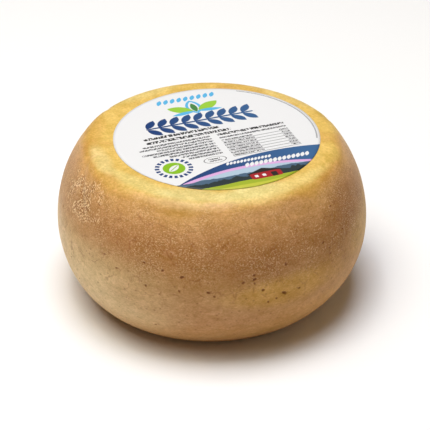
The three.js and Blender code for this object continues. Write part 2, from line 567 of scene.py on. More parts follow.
    def bloomed(self, recipe: Recipe, share: Socket, crust: Socket) -> Socket:
        """Finds how much bloom lies on the skin, thin or as a crust.

        Args:
            recipe: The material that is being made.
            share: How high up the cheese each point is.
            crust: How thick the crust is.

        Returns:
            How much bloom there is, with 0 for none.
        """
        band = recipe.add("ValToRGB", {0: share}, stops=self.bloom_band)
        patches = recipe.add("TexNoise", self.bloom_patch.over(recipe.in_mm))
        clumps = recipe.add("MapRange", self.bloom_clumps.of(patches))
        thin = recipe.add("Math", {0: band, 1: self.bloom_share}, operation="MULTIPLY")
        uneven = recipe.add("Math", {0: thin, 1: clumps}, operation="MULTIPLY")
        return recipe.add("Math", {0: uneven, 1: crust}, operation="MAXIMUM")

    def grains(self, recipe: Recipe, crust: Socket) -> tuple[Socket, Socket]:
        """Draws the bloom's dried grains, which are coarser where it is a crust.

        Args:
            recipe: The material that is being made.
            crust: How thick the crust is.

        Returns:
            How strongly the grains show, and how strongly the gaps between them darken, with darker bare rind
            and painted shade.
        """
        flat = recipe.add("Mapping", {"Vector": recipe.in_mm, "Scale": (1, 1, self.grain_flatness)})
        fine = recipe.add("TexNoise", self.fine_grain.over(flat))
        coarse = recipe.add("TexNoise", self.crust_grain.over(recipe.in_mm))
        grain = recipe.add("Mix", {0: crust, 2: fine, 3: coarse})
        speck = recipe.add("MapRange", self.grain_specks.of(grain), interpolation_type="SMOOTHSTEP")
        gap = recipe.add("MapRange", self.grain_gaps.of(grain), interpolation_type="SMOOTHSTEP")
        return speck, gap

    def cracked(self, recipe: Recipe, share: Socket) -> Socket:
        """Draws the broken net of fine cracks in the dry skin.

        Args:
            recipe: The material that is being made.
            share: How high up the cheese each point is.

        Returns:
            How strongly the cracks show.
        """
        bends = recipe.add("TexNoise", self.crack_bends.over(recipe.in_mm), out="Color")
        bending = {0: bends, 1: (self.crack_bend,) * 3, 2: recipe.in_mm}
        bent = recipe.add("VectorMath", bending, operation="MULTIPLY_ADD")
        cells = {"Vector": bent, "Scale": 1 / self.crack_spacing}
        edges = recipe.add("TexVoronoi", cells, feature="DISTANCE_TO_EDGE")
        line = recipe.add("MapRange", self.crack_line.of(edges), interpolation_type="SMOOTHSTEP")
        breaks = recipe.add("TexNoise", self.crack_breaks.over(recipe.in_mm))
        kept = recipe.add("MapRange", self.crack_kept.of(breaks))
        band = recipe.add("ValToRGB", {0: share}, stops=self.crack_band)
        broken = recipe.add("Math", {0: line, 1: kept}, operation="MULTIPLY")
        return recipe.add("Math", {0: broken, 1: band}, operation="MULTIPLY")

    def pinhole_shaded(self, recipe: Recipe, share: Socket) -> Socket:
        """Draws small dark dots of painted shade, which stand for pits too small to model.

        Args:
            recipe: The material that is being made.
            share: How high up the cheese each point is.

        Returns:
            How strongly the dots show.
        """
        cells = {"Vector": recipe.in_mm, "Scale": 1 / self.pinhole_spacing}
        away = recipe.add("TexVoronoi", cells, out="Distance")
        dots = recipe.add("MapRange", self.pinhole_dots.of(away), interpolation_type="SMOOTHSTEP")
        band = recipe.add("ValToRGB", {0: share}, stops=self.pinhole_band)
        return recipe.add("Math", {0: dots, 1: band}, operation="MULTIPLY")

    def gloss(self, recipe: Recipe, share: Socket) -> Socket:
        """Finds the roughness, which is lower where oil was rubbed in and higher down the side.

        Args:
            recipe: The material that is being made.
            share: How high up the cheese each point is.

        Returns:
            The roughness.
        """
        oiled = recipe.add("TexNoise", self.oil.over(recipe.in_mm))
        skin = recipe.add("MapRange", self.roughness.of(oiled))
        side = recipe.add("MapRange", self.side_roughness.of(share))
        return recipe.add("Math", {0: skin, 1: side}, operation="ADD")

    def relief(self, recipe: Recipe, raised: Socket) -> Socket:
        """Bends the normal by the grains, the skin's fine texture and its orange peel.

        Args:
            recipe: The material that is being made.
            raised: How strongly the grains show.

        Returns:
            The normal.
        """
        grains = recipe.add("Math", {0: raised, 1: self.grain_depth}, operation="MULTIPLY")
        peel = recipe.add("TexNoise", self.peel.over(recipe.in_mm))
        with_peel = recipe.add("Math", {0: peel, 1: self.peel_depth, 2: grains}, operation="MULTIPLY_ADD")
        skin = recipe.add("TexNoise", self.skin.over(recipe.in_mm))
        height = recipe.add("Math", {0: skin, 1: self.skin_depth, 2: with_peel}, operation="MULTIPLY_ADD")
        return recipe.add("Bump", {"Height": height, "Distance": MM, "Strength": 1.0})


# ---- wheel ----


@dataclass(frozen=True)
class Arc:
    """An arc in the upright section, with its centre at (out, up)."""

    radius: float
    out: float
    up: float
    start: float
    sweep: float

    @property
    def length(self) -> float:
        """The arc's length along its curve."""
        return self.radius * self.sweep

    def point(self, share: float) -> tuple[Vector, Vector]:
        """Finds a point of the arc.

        Args:
            share: How far along the arc, from 0 to 1.

        Returns:
            The point and the outward normal there, both in the plane Y = 0.
        """
        angle = self.start + share * self.sweep
        normal = Vector((math.cos(angle), 0, math.sin(angle)))
        return Vector((self.out, 0, self.up)) + normal * self.radius, normal


@dataclass(frozen=True)
class Lobe:
    """A shallow wave in how far out the side stands. Its climb turns it as it goes up."""

    count: int
    size: float
    phase: float
    climb: float


@dataclass(frozen=True)
class PitPlace:
    """Where a pit is: the angle round the wheel, the share of the outline's length, the width."""

    angle: float
    share: float
    width: float


@dataclass(frozen=True)
class Pit:
    """A small pit, by its middle, the outward normal there, its width and its long axis."""

    middle: Vector
    normal: Vector
    width: float
    lie: Vector
    stretch: float


@dataclass(frozen=True)
class Crease:
    """A shallow fold that the draining cloth left, from one point of the side to another."""

    low_bearing: float
    low: float
    high_bearing: float
    high: float
    width: float
    depth: float


@dataclass
class Wheel:
    """The cheese: a bulging side between two soft corners and two flat faces."""

    widest_radius: float = 85.0
    height: float = 89.5
    widest_height: float = 42.0
    top_rim_radius: float = 67.2
    foot_rim_radius: float = 62.0
    top_corner_radius: float = 10.6
    foot_corner_radius: float = 10.2
    steps_around: int = 480
    doublings: int = 3
    ring_spacing: float = 1.15
    hidden_radius: float = 50.0
    flat_rings: int = 10
    lobes: tuple[Lobe, ...] = (
        Lobe(1, 0.28, 4.1, -0.22),
        Lobe(2, 0.33, 2.1, 3.27),
        Lobe(3, 0.41, 2.53, -0.86),
        Lobe(5, 0.27, 2.36, -1.04),
    )
    pit_groups: int = 46
    most_pits_in_group: int = 3
    pit_width: Span = (1.1, 2.4)
    pit_spread: Span = (2.5, 6.7)
    pit_band: Span = (0.29, 0.7)
    pit_crowding: float = 1.4
    pit_rarity: float = 2.0
    pit_stretch: float = 0.35
    pit_depth_share: float = 0.3
    pit_bowl: Span = (0.3, 1.1)
    pit_darkening: Span = (0.55, 1.15)
    pit_raggedness: float = 0.3
    pit_ragged_size: float = 1.1
    pit_search: float = 1.3
    pit_cuts: int = 3
    pit_cut_reach: float = 0.7
    front: Span = (-165, -40)
    # The plainest pits of the front, as in the solid cheese: the bearing in degrees, the share of
    # the section's length from the foot's middle to the top's, and the width.
    front_pits: tuple[tuple[float, float, float], ...] = (
        (-152, 0.55, 1.2),
        (-146, 0.53, 1.3),
        (-135, 0.565, 1.6),
        (-134, 0.51, 1.5),
        (-132, 0.39, 1.5),
        (-128, 0.555, 1.6),
        (-122, 0.51, 1.6),
        (-121, 0.545, 2.2),
        (-112, 0.51, 1.8),
        (-110, 0.5, 1.5),
        (-100, 0.53, 1.8),
        (-96, 0.545, 1.6),
        (-96, 0.535, 2.0),
        (-96, 0.525, 1.3),
        (-93, 0.505, 1.9),
        (-91, 0.47, 1.5),
        (-88, 0.475, 1.3),
        (-85, 0.485, 2.6),
        (-84, 0.555, 1.8),
        (-79, 0.485, 1.4),
        (-67, 0.57, 1.4),
        (-64, 0.55, 1.3),
        (-64, 0.535, 1.2),
        (-58, 0.635, 1.6),
        (-55, 0.57, 1.4),
    )
    lumps: tuple[tuple[float, float], ...] = ((30.0, 0.34), (11.0, 0.16), (4.5, 0.06))
    lump_edge: float = 6.0
    foot_edge: float = 3.0
    flat_face: Span = (0.8, 0.99)
    flat_face_lumps: float = 0.25
    creases: tuple[Crease, ...] = (
        Crease(-165, 66, 172, 92, 2.6, 0.5),
        Crease(-62, 56, -57, 76, 1.6, 0.22),
        Crease(-56, 50, -50, 70, 1.6, 0.22),
        Crease(-10, 52, 4, 92, 2.4, 0.45),
        Crease(62, 48, 52, 80, 2.0, 0.35),
        Crease(118, 60, 128, 92, 2.6, 0.5),
    )
    crease_start: Span = (-0.1, 0.25)
    crease_end: Span = (0.75, 1.1)
    rind: Rind = field(default_factory=Rind)

    def side_arc(self, rim_radius: float, rise: float) -> tuple[float, float]:
        """Finds the arc that is upright at the widest height and passes through a rim.

        Args:
            rim_radius: How far out the rim is.
            rise: How far the rim lies above or below the widest height.

        Returns:
            The arc's radius and how far out its centre is.
        """
        set_back = self.widest_radius - rim_radius
        radius = (rise**2 + set_back**2) / (2 * set_back)
        return radius, self.widest_radius - radius

    def section(self) -> list[Arc]:
        """Works out the section's four arcs from the wheel's sizes.

        Returns:
            The arcs, from the foot's rim up to the top's.
        """
        foot, top = self.foot_corner_radius, self.top_corner_radius
        rise_top = self.height - self.widest_height
        low_radius, low_out = self.side_arc(self.foot_rim_radius, self.widest_height)
        high_radius, high_out = self.side_arc(self.top_rim_radius, rise_top)
        foot_up = self.widest_height - foot
        foot_out = math.sqrt((low_radius - foot) ** 2 - foot_up**2)
        foot_angle = math.atan2(foot_up, foot_out)
        top_up = rise_top - top
        top_out = math.sqrt((high_radius - top) ** 2 - top_up**2)
        top_angle = math.atan2(top_up, top_out)
        return [
            Arc(foot, low_out + foot_out, foot, -QUARTER_TURN, QUARTER_TURN - foot_angle),
            Arc(low_radius, low_out, self.widest_height, -foot_angle, foot_angle),
            Arc(high_radius, high_out, self.widest_height, 0, top_angle),
            Arc(top, high_out + top_out, self.height - top, top_angle, QUARTER_TURN - top_angle),
        ]

    def out_of_round(self, angle: float, height: float) -> float:
        """Says how much wider the wheel is in one direction and at one height.

        Args:
            angle: The direction, in radians from +X.
            height: The height.

        Returns:
            A factor for the distance from the upright axis.
        """
        extra = sum(
            lobe.size * math.sin(lobe.count * angle + lobe.phase + lobe.climb * height / self.height)
            for lobe in self.lobes
        )
        return 1 + extra / self.widest_radius

    def section_length(self) -> float:
        """Measures the section from the middle of the foot to the middle of the top."""
        arcs = self.section()
        return arcs[0].out + sum(arc.length for arc in arcs) + arcs[-1].out

    def on_section(self, share: float) -> tuple[Vector, Vector]:
        """Finds a point by its share of the whole section's length.

        Args:
            share: From 0 at the middle of the foot to 1 at the middle of the top.

        Returns:
            The point and the outward normal there, both in the plane Y = 0.
        """
        arcs = self.section()
        left = share * self.section_length() - arcs[0].out
        for arc in arcs:
            if left <= arc.length:
                return arc.point(left / arc.length)
            left -= arc.length
        return Vector((arcs[-1].out - left, 0, self.height)), Vector((0, 0, 1))

    def pit_places(self) -> list[PitPlace]:
        """Places the pits by the same rule as the solid cheese has them.

        Returns:
            The front's own pits, and then groups of pits drawn for the hidden sides.
        """
        length = self.section_length()
        low, high = self.pit_band
        least, most = self.pit_width
        near, far = self.pit_spread
        places = [PitPlace(math.radians(bearing), share, width) for bearing, share, width in self.front_pits]
        front_from, front_to = (math.radians(bearing) for bearing in self.front)
        for group in range(self.pit_groups):
            angle = group * GOLDEN_ANGLE + Draw.ANGLE.of(group)
            if (angle - front_from) % FULL_TURN < front_to - front_from:
                continue
            share = low + (high - low) * Draw.SHARE.of(group) ** self.pit_crowding
            count = 1 + math.floor(Draw.COUNT.of(group) ** self.pit_rarity * self.most_pits_in_group)
            for member in range(count):
                item = group + (member + 1) * self.pit_groups
                away = 0 if member == 0 else near + (far - near) * Draw.AWAY.of(item)
                heading = FULL_TURN * Draw.HEADING.of(item)
                places.append(
                    PitPlace(
                        angle + away * math.cos(heading) / self.widest_radius,
                        share + away * math.sin(heading) / length,
                        least + (most - least) * Draw.WIDTH.of(item) ** self.pit_rarity,
                    )
                )
        return places

    def pits(self) -> list[Pit]:
        """Finds each pit's middle, normal and long axis on the uneven wheel.

        Returns:
            The pits, in the order of their places.
        """
        made = []
        for item, place in enumerate(self.pit_places()):
            point, normal = self.on_section(place.share)
            point.x *= self.out_of_round(place.angle, point.z)
            around = Matrix.Rotation(place.angle, 3, "Z")
            middle, outward = around @ point, around @ normal
            level = Vector((0, 0, 1)).cross(outward).normalized()
            lie = Matrix.Rotation(math.pi * Draw.LIE.of(item), 3, outward) @ level
            stretch = 1 + self.pit_stretch * Draw.STRETCH.of(item)
            made.append(Pit(middle, outward, place.width, lie, stretch))
        return made

    def turned(self) -> bmesh.types.BMesh:
        """Turns the section about the upright axis into a closed skin.

        Returns:
            The skin, in millimetres.
        """
        arcs = self.section()
        mesh = bmesh.new()
        last = mesh.verts.new((0, 0, 0))
        last = draw_line(mesh, last, Vector((arcs[0].out, 0, 0)), self.flat_rings)
        for arc in arcs:
            turned = bmesh.ops.spin(
                mesh,
                geom=[last],
                cent=(arc.out, 0, arc.up),
                axis=(0, -1, 0),
                angle=arc.sweep,
                steps=math.ceil(arc.length / self.ring_spacing),
            )
            last = vertices(turned["geom_last"])[0]
        margin = arcs[-1].out - self.hidden_radius
        edge = Vector((self.hidden_radius, 0, self.height))
        last = draw_line(mesh, last, edge, math.ceil(margin / self.ring_spacing))
        draw_line(mesh, last, Vector((0, 0, self.height)), self.flat_rings)
        sectors = 2**self.doublings
        bmesh.ops.spin(
            mesh,
            geom=mesh.verts[:] + mesh.edges[:],
            cent=(0, 0, 0),
            axis=(0, 0, 1),
            angle=FULL_TURN / sectors,
            steps=self.steps_around // sectors,
        )
        for doubling in range(self.doublings):
            copy = bmesh.ops.duplicate(mesh, geom=mesh.verts[:] + mesh.edges[:] + mesh.faces[:])
            turn = Matrix.Rotation(FULL_TURN / sectors * 2**doubling, 3, "Z")
            bmesh.ops.rotate(mesh, verts=vertices(copy["geom"]), cent=(0, 0, 0), matrix=turn)
        bmesh.ops.remove_doubles(mesh, verts=mesh.verts, dist=MERGE_DISTANCE)
        bmesh.ops.recalc_face_normals(mesh, faces=mesh.faces)
        return mesh

    def refine(self, mesh: bmesh.types.BMesh, pits: list[Pit]) -> None:
        """Cuts the skin finer round each pit, so that its bowl is smooth.

        Args:
            mesh: The skin.
            pits: The pits.
        """
        mesh.faces.ensure_lookup_table()
        near = kdtree.KDTree(len(mesh.faces))
        for face in mesh.faces:
            near.insert(face.calc_center_median(), face.index)
        near.balance()
        edges = {}
        for pit in pits:
            reach = pit.width * self.pit_cut_reach + self.ring_spacing
            for _, index, _ in near.find_range(pit.middle, reach):
                edges.update((edge.index, edge) for edge in mesh.faces[index].edges)
        bmesh.ops.subdivide_edges(
            mesh,
            edges=[edges[index] for index in sorted(edges)],
            cuts=self.pit_cuts,
            use_grid_fill=True,
            use_single_edge=True,
        )

    def weather(self, mesh: bmesh.types.BMesh) -> None:
        """Moves the skin inwards by low lumps and by the folds of the draining cloth.

        Args:
            mesh: The skin.
        """
        mesh.normal_update()
        moves = []
        for vertex in mesh.verts:
            point = vertex.co
            inward = sum(depth * (1 + noise.noise(point / size)) / 2 for size, depth in self.lumps)
            flatness = smooth_step(abs(vertex.normal.z), *self.flat_face)
            inward *= 1 - (1 - self.flat_face_lumps) * flatness
            out = math.hypot(point.x, point.y)
            inward *= smooth_step(out, self.hidden_radius, self.hidden_radius + self.lump_edge)
            inward *= smooth_step(point.z, 0, self.foot_edge)
            moves.append(vertex.normal * -(inward + self.crease_depth(point, out)))
        for vertex, move in zip(mesh.verts, moves):
            vertex.co += move

    def crease_depth(self, point: Vector, out: float) -> float:
        """Says how deep the folds are at a point.

        Args:
            point: The point.
            out: How far it is from the upright axis.

        Returns:
            The depth of the deepest fold there.
        """
        angle = math.atan2(point.y, point.x)
        deepest = 0.0
        for crease in self.creases:
            share = (point.z - crease.low) / (crease.high - crease.low)
            if not self.crease_start[0] < share < self.crease_end[1]:
                continue
            turn = (crease.high_bearing - crease.low_bearing + 180) % 360 - 180
            bearing = math.radians(crease.low_bearing + turn * share)
            off = (angle - bearing + math.pi) % FULL_TURN - math.pi
            fade = smooth_step(share, *self.crease_start) * (1 - smooth_step(share, *self.crease_end))
            depth = crease.depth * math.exp(-((off * out / crease.width) ** 2)) * fade
            deepest = max(deepest, depth)
        return deepest

    def sink(self, mesh: bmesh.types.BMesh, pits: list[Pit]) -> None:
        """Sinks each pit's bowl into the skin and marks how deep in it each vertex lies.

        Args:
            mesh: The skin.
            pits: The pits.
        """
        layer = mesh.verts.layers.float.new(PIT_LAYER)
        mesh.verts.ensure_lookup_table()
        near = kdtree.KDTree(len(mesh.verts))
        for vertex in mesh.verts:
            near.insert(vertex.co, vertex.index)
        near.balance()
        for pit in pits:
            across_pit = pit.normal.cross(pit.lie)
            for point, index, _ in near.find_range(pit.middle, pit.width * self.pit_search):
                offset = point - pit.middle
                along = offset.dot(pit.lie) / pit.stretch
                across = offset.dot(across_pit) * pit.stretch
                away = math.hypot(along, across) / (pit.width / 2)
                away *= 1 + self.pit_raggedness * noise.noise(point / self.pit_ragged_size)
                vertex = mesh.verts[index]
                bowl = 1 - smooth_step(away, *self.pit_bowl)
                vertex.co -= pit.normal * (pit.width * self.pit_depth_share * bowl)
                # The mark sets how much painted shade the rind gets here, darkest in the pit's middle.
                vertex[layer] = max(vertex[layer], 1 - smooth_step(away, *self.pit_darkening))

    def build(self) -> bpy.types.Object:
        """Builds the cheese as one closed skin and dresses it.

        Returns:
            The cheese.
        """
        mesh = self.turned()
        for vertex in mesh.verts:
            factor = self.out_of_round(math.atan2(vertex.co.y, vertex.co.x), vertex.co.z)
            vertex.co.x *= factor
            vertex.co.y *= factor
        pits = self.pits()
        self.refine(mesh, pits)
        self.weather(mesh)
        self.sink(mesh, pits)
        return finish_piece("wheel", mesh, self.rind.material())


# ---- print ----


class Ink(Enum):
    """The inks of the label."""

    NAVY = "#06336C"
    STEEL = "#315C8A"
    LIGHT_BLUE = "#4FA9D6"
    LEAF = "#8FBE38"
    SEAL = "#7FB016"
    DARK_LEAF = "#3E7B3C"
    TEXT = "#1E1E22"
    FINE_TEXT = "#444448"
    RULE = "#77777B"
    PINK = "#CF9FCE"
    SKY = "#A5BACB"
    FAR_HILL = "#435C74"
    NEAR_HILL = "#1E2C30"
    MEADOW = "#96A626"
    MEADOW_LIGHT = "#B5B838"
    BARN = "#9A1420"
    ROOF = "#1C1618"
    PAPER = "#DDDDDE"

@dataclass(frozen=True)
class Placed:
    """A mark on the label, by its middle."""

    x: float
    y: float

    def local(
        self, recipe: Recipe, place: Socket, width: float = 1.0, height: float = 1.0, turn: float = 0.0
    ) -> Socket:
        """Sees places from the mark's middle, along its own ways and in its own sizes.

        Args:
            recipe: The material that is being made.
            place: The places.
            width: What counts as 1 along the mark.
            height: What counts as 1 across it.
            turn: How far the mark is turned, in degrees.

        Returns:
            The places as the mark sees them.
        """
        frame = {
            "Vector": place,
            "Location": (self.x, self.y, 0),
            "Rotation": (0, 0, math.radians(turn)),
            "Scale": (width, height, 1),
        }
        return recipe.add("Mapping", frame, vector_type="TEXTURE")


@dataclass(frozen=True)
class Bar(Placed):
    """A bar with soft corners, by its middle, its size and its turn in degrees."""

    width: float
    height: float
    turn: float = 0.0

    def mask(self, recipe: Recipe, place: Socket) -> Socket:
        """Finds what the bar covers.

        Args:
            recipe: The material that is being made.
            place: The places.

        Returns:
            1 inside the bar and 0 outside it.
        """
        local = self.local(recipe, place, self.width / 2, self.height / 2, self.turn)
        squared = recipe.add("VectorMath", {0: local, 1: local}, operation="MULTIPLY")
        fourth = recipe.add("VectorMath", {0: squared, 1: squared}, operation="MULTIPLY")
        away = recipe.add("VectorMath", {0: fourth}, out="Value", operation="LENGTH")
        return recipe.add("Math", {0: away, 1: 1.0}, operation="LESS_THAN")


@dataclass(frozen=True)
class Disc(Placed):
    """A disc or an oval, by its middle and its half sizes."""

    radius: float
    rise: float = 0.0

    def reach(self, recipe: Recipe, place: Socket) -> Socket:
        """Returns how far out each place lies, with 1 on the disc's edge."""
        local = self.local(recipe, place, self.radius, self.rise or self.radius)
        return recipe.add("VectorMath", {0: local}, out="Value", operation="LENGTH")

    def mask(self, recipe: Recipe, place: Socket) -> Socket:
        """Returns 1 inside the disc and 0 outside it."""
        return recipe.add("Math", {0: self.reach(recipe, place), 1: 1.0}, operation="LESS_THAN")


@dataclass(frozen=True)
class Ring:
    """The outline of a disc, by its line's thickness."""

    disc: Disc
    line: float

    def mask(self, recipe: Recipe, place: Socket) -> Socket:
        """Returns 1 on the line and 0 off it."""
        slack = self.line / 2 / self.disc.radius
        return recipe.add("Math", {0: self.disc.reach(recipe, place), 1: 1.0, 2: slack}, operation="COMPARE")


@dataclass(frozen=True)
class Leaf(Placed):
    """A pointed leaf, by its middle, its length, its width and its turn in degrees."""

    length: float
    width: float
    turn: float = 0.0

    def mask(self, recipe: Recipe, place: Socket) -> Socket:
        """Finds what the leaf covers, which is where two equal discs overlap.

        Args:
            recipe: The material that is being made.
            place: The places.

        Returns:
            1 inside the leaf and 0 outside it.
        """
        half_length, half_width = self.length / 2, self.width / 2
        off = (half_length**2 - half_width**2) / (2 * half_width)
        local = self.local(recipe, place, turn=self.turn)
        folded = recipe.add("VectorMath", {0: local}, operation="ABSOLUTE")
        from_centre = recipe.add("VectorMath", {0: folded, 1: (0, off, 0)}, operation="ADD")
        away = recipe.add("VectorMath", {0: from_centre}, out="Value", operation="LENGTH")
        return recipe.add("Math", {0: away, 1: off + half_width}, operation="LESS_THAN")


@dataclass(frozen=True)
class Gable(Placed):
    """A pointed roof, by the middle of its foot, its width and its rise."""

    width: float
    rise: float

    def mask(self, recipe: Recipe, place: Socket) -> Socket:
        """Finds what the roof covers, and its mirror image below its foot.

        Args:
            recipe: The material that is being made.
            place: The places.

        Returns:
            1 inside either of them and 0 elsewhere.
        """
        local = self.local(recipe, place, self.width / 2, self.rise)
        folded = recipe.add("VectorMath", {0: local}, operation="ABSOLUTE")
        away = recipe.add("VectorMath", {0: folded, 1: (1, 1, 0)}, out="Value", operation="DOT_PRODUCT")
        return recipe.add("Math", {0: away, 1: 1.0}, operation="LESS_THAN")


@dataclass(frozen=True)
class Hills:
    """All below a rolling skyline, by its level, its rise, a hill's span and where it starts."""

    level: float
    rise: float
    span: float
    seed: float

    def mask(self, recipe: Recipe, place: Socket) -> Socket:
        """Finds what lies below the skyline.

        Args:
            recipe: The material that is being made.
            place: The places.

        Returns:
            1 below the skyline and 0 above it.
        """
        parts = recipe.add("SeparateXYZ", {0: place})
        along = recipe.add("Math", {0: parts, 1: 1 / self.span, 2: self.seed}, operation="MULTIPLY_ADD")
        wave = recipe.add("TexNoise", {"W": along, "Scale": 1.0, "Detail": 3.0}, noise_dimensions="1D")
        lift = {0: wave, 1: self.rise, 2: self.level - self.rise / 2}
        skyline = recipe.add("Math", lift, operation="MULTIPLY_ADD")
        return recipe.add("Math", {0: parts.node.outputs["Y"], 1: skyline}, operation="LESS_THAN")


@dataclass(frozen=True)
class Words:
    """Small print too far away to read: a shape broken up into uneven dashes."""

    inked: ClassVar[float] = 0.45
    shape: Bar | Repeat
    letter: float

    def mask(self, recipe: Recipe, place: Socket) -> Socket:
        """Finds what the dashes cover.

        Args:
            recipe: The material that is being made.
            place: The places.

        Returns:
            1 on the dashes and 0 elsewhere.
        """
        inside = self.shape.mask(recipe, place)
        letters = Placed(0, 0).local(recipe, place, self.letter, 2 * self.letter)
        pattern = recipe.add("TexNoise", {"Vector": letters, "Scale": 1.0, "Detail": 1.0})
        dark = recipe.add("Math", {0: pattern, 1: self.inked}, operation="GREATER_THAN")
        return recipe.add("Math", {0: inside, 1: dark}, operation="MULTIPLY")


@dataclass(frozen=True)
class Repeat(Placed):
    """A shape in even steps along a line, by the line's middle and its turn in degrees."""

    shape: Bar | Disc | Leaf
    pitch: float
    count: int
    turn: float = 0.0
    mirrored: bool = False

    def mask(self, recipe: Recipe, place: Socket) -> Socket:
        """Finds what the shapes cover.

        Args:
            recipe: The material that is being made.
            place: The places.

        Returns:
            1 inside the shapes and 0 elsewhere.
        """
        local = self.local(recipe, place, turn=self.turn)
        along = recipe.add("SeparateXYZ", {0: local})
        across = along.node.outputs["Y"]
        if self.mirrored:
            across = recipe.add("Math", {0: across}, operation="ABSOLUTE")
        odd = (self.count % 2) * self.pitch / 2
        wrapped = recipe.add("Math", {0: along, 1: self.pitch - odd, 2: -odd}, operation="WRAP")
        middle = recipe.add("Math", {0: wrapped, 1: self.pitch / 2 - odd}, operation="SUBTRACT")
        cell = recipe.add("CombineXYZ", {0: middle, 1: across})
        inside = self.shape.mask(recipe, cell)
        span = recipe.add("Math", {0: along, 1: 0.0, 2: self.count * self.pitch / 2}, operation="COMPARE")
        return recipe.add("Math", {0: inside, 1: span}, operation="MULTIPLY")


@dataclass(frozen=True)
class Dial(Placed):
    """A ring of even marks, by its middle, its radius, the marks' height and their number.

    It also takes the share of each step that is inked, and the angles between which it runs.
    """

    radius: float
    height: float
    marks: int
    filled: float
    start: float = -180.0
    end: float = 180.0

    def mask(self, recipe: Recipe, place: Socket) -> Socket:
        """Finds what the marks cover.

        Args:
            recipe: The material that is being made.
            place: The places.

        Returns:
            1 on the marks and 0 elsewhere.
        """
        local = self.local(recipe, place)
        along = recipe.add("SeparateXYZ", {0: local})
        angle = recipe.add("Math", {0: along.node.outputs["Y"], 1: along}, operation="ARCTAN2")
        turns = recipe.add("Math", {0: angle, 1: self.marks / FULL_TURN}, operation="MULTIPLY")
        share = recipe.add("Math", {0: turns}, operation="FRACT")
        filled = recipe.add("Math", {0: share, 1: self.filled}, operation="LESS_THAN")
        away = recipe.add("VectorMath", {0: local}, out="Value", operation="LENGTH")
        ring = recipe.add("Math", {0: away, 1: self.radius, 2: self.height / 2}, operation="COMPARE")
        middle = math.radians(self.start + self.end) / 2
        spread = math.radians(self.end - self.start) / 2
        arc = recipe.add("Math", {0: angle, 1: middle, 2: spread}, operation="COMPARE")
        marks = recipe.add("Math", {0: filled, 1: ring}, operation="MULTIPLY")
        return recipe.add("Math", {0: marks, 1: arc}, operation="MULTIPLY")


Shape = Bar | Disc | Ring | Leaf | Gable | Hills | Words | Repeat | Dial


